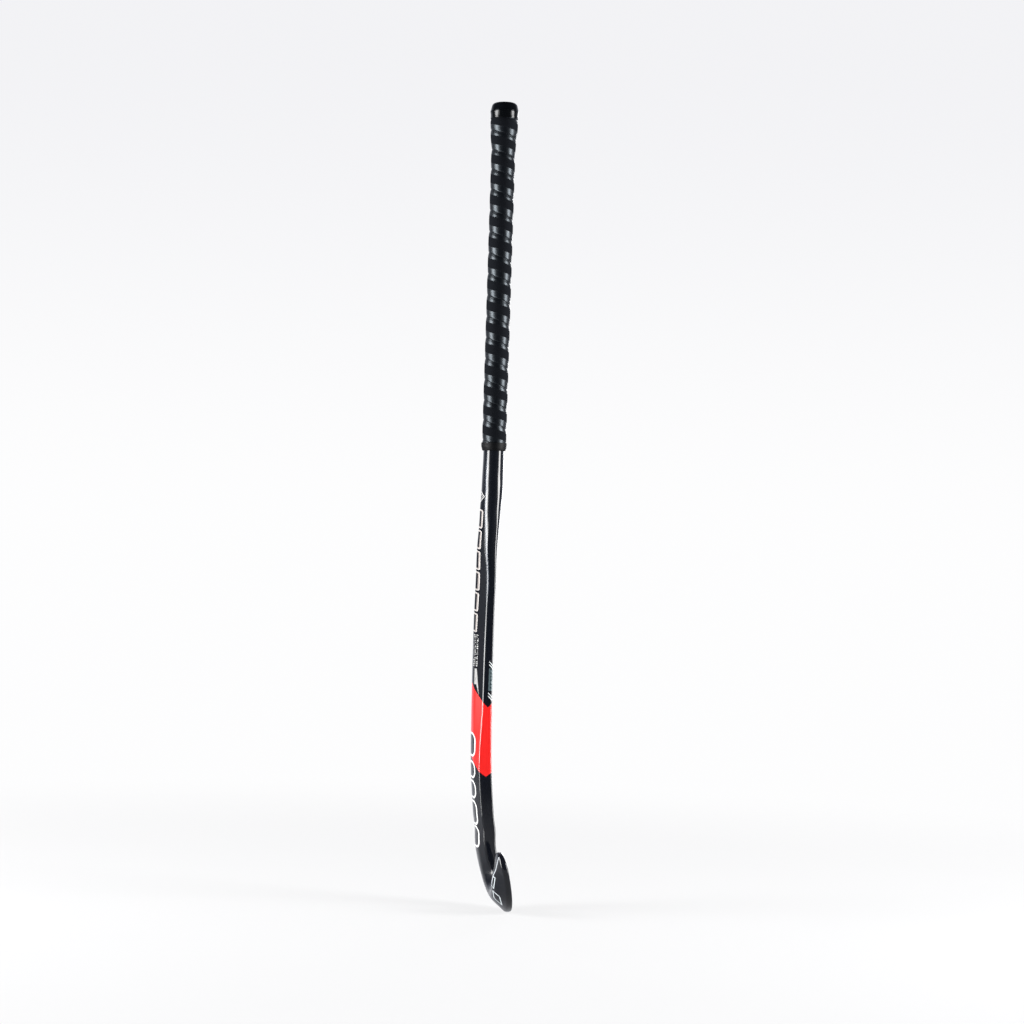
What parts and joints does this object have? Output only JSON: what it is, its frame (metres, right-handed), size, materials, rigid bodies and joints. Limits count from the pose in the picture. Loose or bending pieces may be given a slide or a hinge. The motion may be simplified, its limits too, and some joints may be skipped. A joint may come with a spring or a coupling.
{
  "type": "field hockey stick",
  "caption": "Hooked composite field hockey stick with a bowed shaft, flat playing face, wound cushion grip and capped butt end.",
  "frame": {"origin": "centre of the stick's box in X and Y, at the lowest point of the head", "axes": "+Z along the handle towards the butt, +X out of the playing face, -Y from the heel towards the toe"},
  "size_m": [0.0459, 0.1104, 0.927],
  "materials": {
    "lacquered_composite": "clear lacquer over black carbon laminate with a red band and pale outlined shapes",
    "head_foam": "rigid closed-cell foam",
    "shaft_foam": "light closed-cell foam",
    "plug_plastic": "moulded, lightly textured",
    "collar_rubber": "matte rubber",
    "cap_gloss": "smooth gloss",
    "grip_cushion": "cushioned polyurethane, fine grain, satin",
    "finishing_tape": "stretched vinyl tape"
  },
  "bodies": {
    "root": {"stick_shell": "lacquered_composite", "head_core": "head_foam", "shaft_core": "shaft_foam", "butt_plug": "plug_plastic", "flare_collar": "collar_rubber", "butt_cap": "cap_gloss", "grip_tape": "grip_cushion", "upper_finishing_tape": "finishing_tape", "lower_finishing_tape": "finishing_tape"}
  },
  "joints": []
}
